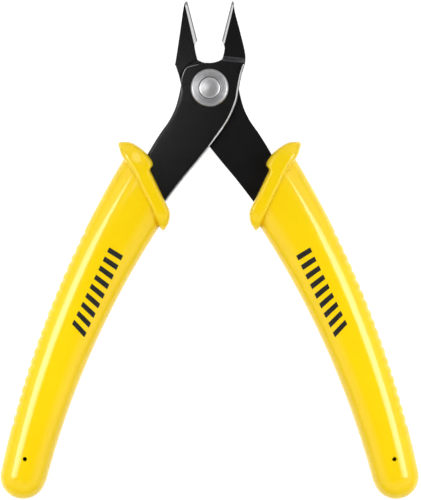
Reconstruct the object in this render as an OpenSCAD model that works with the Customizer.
// Flush cut pliers: two lapped steel halves on one rivet, a wire return spring behind
// them and a moulded grip on each handle.
// The tool lies flat. +Z is the pivot axis and points to the front, +Y points to the jaw
// tips. The origin is the middle of the rivet's rear face. The jaws stand open, at rest.
// Each half is drawn with the jaws closed, the front half's jaw on +X and its handle on
// -X, and is then turned about the pivot. The rear half is the same outline mirrored.

/* [Steel halves] */
// Angle that each half turns from closed to rest, in degrees
half_opening = 14.3; // [8:0.1:15]
// Thickness of each lapped plate
plate_t = 2.8; // [2.4:0.1:3]
// Thickness of the jaws at their base
jaw_t = 3.2; // [3:0.1:3.4]
// Thickness of the jaws at their tips
tip_t = 2.0; // [1.6:0.1:2.8]
// Width of the ground bevel along each cutting edge, at the jaw's base
bevel_w = 1.0; // [0.6:0.1:1.1]
// Half of the gap between the cutting edges when they are closed
edge_gap = 0.03; // [0.02:0.01:0.05]

/* [Pivot] */
// Diameter of the rivet's shank
shank_d = 5.2; // [4.6:0.1:5.2]
// Diameter of the collar at the front
collar_d = 9; // [8:0.1:9.4]
// Thickness of the collar
collar_t = 1; // [0.8:0.1:1.2]
// Diameter of the rivet's rear head
head_d = 8.4; // [8.2:0.1:9]
// Thickness of the rivet's rear head
head_t = 0.9; // [0.7:0.1:1]
// Radial clearance of the shank in the rear half
shank_clear = 0.03; // [0.02:0.01:0.06]

/* [Return spring] */
// Diameter of the spring's wire
wire_d = 1; // [0.8:0.1:1]
// Radius of the spring's loop, at the middle of the wire
loop_r = 3.3; // [3.2:0.1:3.6]

/* [Grips] */
// Thickness of the grip along the handle
grip_t = 11; // [10:0.5:12]
// Thickness of the thumb guard at the grip's upper end
guard_t = 13; // [12:0.5:14]
// Diameter of the moulding locator's hole near the grip's end
locator_d = 1; // [0.8:0.1:1.4]

/* [Hidden] */
$fn = 64;

// Heights along the pivot axis
spring_room = 1.3;
rear_z = head_t + spring_room;
lap_z = rear_z + plate_t;
front_z = lap_z + plate_t;
lap_gap = 0.03;
jaw_back_z = lap_z - jaw_t / 2;
jaw_front_z = lap_z + jaw_t / 2;
tip_front_z = jaw_back_z + tip_t;
land_t = 0.1;

// Places along a jaw
shoulder_r = 7.65;
shoulder_y = 4.5;
joggle_y = 8.3;
joggle_len = 1;
tip_y = 21.5;
edge_base_y = 11.8;

// Outline of a half, closed: down the outside of the jaw and the inner side of the handle
jaw_side = [[0.2, tip_y], [1.3, 19.2], [4, 14.3], [6.1, 10.2], [6.7, 7.9], [6.6, 5],
            [6.8, 1.3], [7, -1.5], [6.4, -5.7], [5, -9.9], [1.9, -16.9], [-1.3, -23.7],
            [-4.5, -31.5], [-9, -44], [-12.6, -58], [-15.6, -72], [-17.2, -85],
            [-17.6, -94], [-17.9, -97.5], [-19.9, -99.3]];
// then back up the outer side of the handle, and over the rounded corner at the pivot
handle_side = [[-19.9, -99.3], [-21.9, -97.5], [-22.2, -94], [-21.6, -80], [-20.2, -66],
               [-17.9, -52], [-15, -38], [-12.2, -26], [-10.3, -18.5], [-8.8, -13.6],
               [-7.4, -9.9], [-6.7, -6.3], [-6.7, -2], [-7, 1], [-6.9, 2.5],
               [-6.4, 3.5], [-5.4, 4.1], [-3.7, 4.9]];
// then the round bottom of the notch between the jaws
notch_centre = [-3, 11.3];
notch_r = 5.75;
notch_from = -83;
notch_to = -45;
// and the relief behind the cutting edge
relief = [[1.35, 7.5], [1.35, 8.8], [1.2, 10], [0.83, 10.75], [edge_gap, edge_base_y]];

// Where each spring leg ends, in a closed half
spring_foot = [-5.8, -14];
foot_depth = 1.5;
foot_clear = 0.1;

// The grip's two long edges are arcs, and its end is a half circle
outer_bow = [214, -90.5];
outer_bow_r = 239.9;
inner_bow = [194, -102.3];
inner_bow_r = 208.6;
cap_centre = [-20.2, -100.6];
cap_r = 5.5;
crease_y = -21.8;
crease_slant = 14.6;
roundness = 0.75;
ring_sides = 20;
body_rings = 16;
cap_turns = [20, 40, 58, 72, 82];
locator_at = [-20.7, -96.3];
// Each ring of the thumb guard: its outer end, its inner end, its thickness, its bulge
guard_rings = [[[-17.2, -17.6], [-2.3, -30.4], guard_t - 1.6, 4.2],
               [[-17.9, -18.1], [-1.6, -31.8], guard_t, 3.6],
               [[-17.7, -19], [-1.6, -34], guard_t, 3],
               [[-16.6, -20.4], [-2.7, -35.7], guard_t - 1.4, 2.4]];

// A smooth curve through the points p, in n steps for each span
function blend_point(a, b, c, d, t) =
    0.5 * (2 * b + (c - a) * t + (2 * a - 5 * b + 4 * c - d) * t * t
           + (3 * b - a - 3 * c + d) * t * t * t);
function curve(p, n) = [
    for (i = [0:len(p) - 2])
        for (k = [0:n - 1])
            blend_point(p[max(i - 1, 0)], p[i], p[i + 1], p[min(i + 2, len(p) - 1)], k / n)
];

function arc(centre, r, from, to, n) = [
    for (k = [0:n])
        centre + r * [cos(from + (to - from) * k / n), sin(from + (to - from) * k / n)]
];

module half_outline() {
    polygon(concat(curve(jaw_side, 4), curve(handle_side, 4),
                   arc(notch_centre, notch_r, notch_from, notch_to, 8),
                   relief, [[edge_gap, tip_y]]));
}

// A slab across the whole half, from its side view: [y, z] points
module side_view(points) {
    slab_w = 80;
    translate([slab_w / 2, 0, 0])
        rotate([90, 0, -90])
            linear_extrude(slab_w)
                polygon([for (p = points) [-p[0], p[1]]]);
}

// What the grinding takes off the front of a cutting edge
module bevel_cut() {
    beside = 5;
    above = 5;
    translate([0, tip_y + 1, 0])
        rotate([90, 0, 0])
            linear_extrude(tip_y + 1 - edge_base_y + 0.7)
                polygon([[-beside, jaw_back_z + land_t], [edge_gap, jaw_back_z + land_t],
                         [bevel_w, jaw_front_z], [bevel_w, jaw_front_z + above],
                         [-beside, jaw_front_z + above]]);
}

module spring_hole(z, depth) {
    translate([spring_foot[0], spring_foot[1], z])
        cylinder(d = wire_d + 2 * foot_clear, h = depth);
}

module front_half_closed() {
    far = -110;
    difference() {
        intersection() {
            linear_extrude(front_z + 1) half_outline();
            side_view([[far, lap_z + lap_gap], [shoulder_y, lap_z + lap_gap],
                       [shoulder_y, jaw_back_z], [tip_y + 1, jaw_back_z],
                       [tip_y + 1, tip_front_z], [joggle_y + joggle_len, jaw_front_z],
                       [joggle_y, front_z], [far, front_z]]);
        }
        translate([0, 0, jaw_back_z - 1])
            cylinder(r = shoulder_r, h = jaw_t / 2 + 1 + lap_gap, $fn = 96);
        bevel_cut();
        cylinder(d = shank_d, h = front_z + 1);
        spring_hole(lap_z, foot_depth);
    }
}

module rear_half_closed() {
    far = -110;
    difference() {
        intersection() {
            linear_extrude(front_z + 1) half_outline();
            side_view([[far, rear_z], [joggle_y, rear_z],
                       [joggle_y + joggle_len, jaw_back_z], [tip_y + 1, jaw_back_z],
                       [tip_y + 1, tip_front_z], [joggle_y + joggle_len, jaw_front_z],
                       [shoulder_y, jaw_front_z], [shoulder_y, lap_z - lap_gap],
                       [far, lap_z - lap_gap]]);
        }
        translate([0, 0, lap_z - lap_gap])
            cylinder(r = shoulder_r, h = jaw_t, $fn = 96);
        bevel_cut();
        cylinder(d = shank_d + 2 * shank_clear, h = front_z + 1);
        spring_hole(rear_z - 1, foot_depth + 1);
    }
}

// Where the arcs of the grip stand at a height y
function outer_x(y) = outer_bow[0] - sqrt(pow(outer_bow_r, 2) - pow(y - outer_bow[1], 2));
function inner_x(y) = inner_bow[0] - sqrt(pow(inner_bow_r, 2) - pow(y - inner_bow[1], 2));

// A ring of the grip's body, u from 0 at the crease to 1 at the start of the end cap
function body_ring(u) =
    let (y_out = crease_y + (cap_centre[1] - crease_y) * u,
         y_in = y_out - crease_slant * pow(1 - u, 2.2))
    [[outer_x(y_out), y_out], [inner_x(y_in), y_in], grip_t, 2.2 * pow(1 - u, 4)];
function cap_ring(turn) =
    [cap_centre + cap_r * [-cos(turn), -sin(turn)], cap_centre + cap_r * [cos(turn), -sin(turn)],
     grip_t * pow(cos(turn), 0.7), 0];
grip_rings = concat(guard_rings, [for (k = [0:body_rings]) body_ring(k / body_rings)],
                    [for (turn = cap_turns) cap_ring(turn)]);

function signed_pow(v, p) = sign(v) * pow(abs(v), p);
// One point of a ring, at an angle a around it
function ring_point(ring, a) =
    let (across = signed_pow(cos(a), roundness),
         up = signed_pow(sin(a), roundness),
         chord = ring[1] - ring[0],
         normal = [-chord[1], chord[0]] / norm(chord),
         flat = (ring[0] + ring[1]) / 2 + chord / 2 * across
                + normal * ring[3] * (1 - across * across))
    [flat[0], flat[1], lap_z + ring[2] / 2 * up];
function ring_centre(ring) =
    let (p = ring_point(ring, 90))
    [p[0], p[1], lap_z];

module grip_shell() {
    n = ring_sides;
    rings = len(grip_rings);
    points = concat([for (ring = grip_rings) for (k = [0:n - 1]) ring_point(ring, k * 360 / n)],
                    [ring_centre(grip_rings[0]), ring_centre(grip_rings[rings - 1])]);
    walls = [for (i = [0:rings - 2]) for (k = [0:n - 1])
             [i * n + k, i * n + (k + 1) % n, (i + 1) * n + (k + 1) % n, (i + 1) * n + k]];
    top = [for (k = [0:n - 1]) [rings * n, (k + 1) % n, k]];
    bottom = [for (k = [0:n - 1])
              [rings * n + 1, (rings - 1) * n + k, (rings - 1) * n + (k + 1) % n]];
    polyhedron(points, concat(walls, top, bottom));
}

// A closed half's grip, moulded round the tang that lies between two heights
module grip_closed(tang_from, tang_to) {
    difference() {
        grip_shell();
        translate([0, 0, tang_from])
            linear_extrude(tang_to - tang_from) half_outline();
        translate([locator_at[0], locator_at[1], tang_to - 0.1])
            cylinder(d = locator_d, h = grip_t);
    }
}

module front_place() {
    rotate([0, 0, -half_opening]) children();
}

module rear_place() {
    rotate([0, 0, half_opening]) mirror([1, 0, 0]) children();
}

module front_half() {
    color("#202022") front_place() front_half_closed();
}

module rear_half() {
    color("#26262a") rear_place() rear_half_closed();
}

module pivot_rivet() {
    color("silver") {
        cylinder(d = head_d, h = head_t);
        cylinder(d = shank_d, h = front_z + collar_t - 0.1);
    }
}

module pivot_collar() {
    rim_t = 0.35;
    slope_w = 0.7;
    color("#c8c8cc")
        translate([0, 0, front_z])
            rotate_extrude($fn = 96)
                polygon([[shank_d / 2, 0], [collar_d / 2, 0], [collar_d / 2, rim_t],
                         [collar_d / 2 - slope_w, collar_t], [shank_d / 2, collar_t]]);
}

// Turns a flat point about the pivot
function turned(p, a) = [p[0] * cos(a) - p[1] * sin(a), p[0] * sin(a) + p[1] * cos(a)];

// The wire's path, as [point, heading, side] with a unit heading and a unit side vector.
// It starts in the front half's hole, bends into a leg, runs over the top of the rivet's
// neck and comes down the other leg into the rear half's hole.
wire_z = rear_z - 0.1 - wire_d / 2;
foot_bend_r = 1;
foot_left = turned(spring_foot, -half_opening);
foot_angle = atan2(foot_left[1], foot_left[0]) + 360;
leg_start_angle = foot_angle - acos(loop_r / norm(spring_foot));
leg_start = loop_r * [cos(leg_start_angle), sin(leg_start_angle)];
leg_dir = (leg_start - foot_left) / norm(leg_start - foot_left);
bend_steps = 4;
loop_steps = 20;
function flip_x(v) = [-v[0], v[1], v[2]];
function foot_path(top_z) = let (side = [-leg_dir[1], leg_dir[0], 0]) concat(
    [[[foot_left[0], foot_left[1], top_z], [0, 0, -1], side]],
    [for (k = [0:bend_steps])
        let (a = 90 * k / bend_steps,
             along = foot_bend_r * (1 - cos(a)),
             z = wire_z + foot_bend_r * (1 - sin(a)))
        [[foot_left[0] + leg_dir[0] * along, foot_left[1] + leg_dir[1] * along, z],
         [leg_dir[0] * sin(a), leg_dir[1] * sin(a), -cos(a)], side]]);
loop_path = [
    for (k = [0:loop_steps])
        let (a = leg_start_angle + (180 - 2 * leg_start_angle) * k / loop_steps)
        [[loop_r * cos(a), loop_r * sin(a), wire_z], [sin(a), -cos(a), 0],
         [cos(a), sin(a), 0]]
];
front_foot = foot_path(lap_z + foot_depth - 0.2);
rear_foot_seen = foot_path(rear_z + foot_depth - 0.2);
// The rear leg is the front leg's mirror image, walked the other way
rear_foot = [for (k = [len(rear_foot_seen) - 1:-1:0])
    let (step = rear_foot_seen[k])
    [flip_x(step[0]), -flip_x(step[1]), flip_x(step[2])]];
wire_path = concat(front_foot, loop_path, rear_foot);

// A round wire along a path
module wire(path, d, sides) {
    last = len(path) - 1;
    points = [
        for (step = path)
            let (up = cross(step[1], step[2]))
            for (k = [0:sides - 1])
                let (a = 360 * k / sides)
                step[0] + d / 2 * (step[2] * cos(a) + up * sin(a))
    ];
    walls = [for (i = [0:last - 1]) for (k = [0:sides - 1])
             [i * sides + k, (i + 1) * sides + k,
              (i + 1) * sides + (k + 1) % sides, i * sides + (k + 1) % sides]];
    start = [for (k = [0:sides - 1]) k];
    end = [for (k = [sides - 1:-1:0]) last * sides + k];
    polyhedron(points, concat(walls, [start, end]));
}

module return_spring() {
    color("#9a9aa0") wire(wire_path, wire_d, 16);
}

module front_grip() {
    color("#ffd91e") front_place() grip_closed(lap_z + lap_gap, front_z);
}

module rear_grip() {
    color("#ffd91e") rear_place() grip_closed(rear_z, lap_z - lap_gap);
}

front_half();
rear_half();
pivot_rivet();
pivot_collar();
return_spring();
front_grip();
rear_grip();
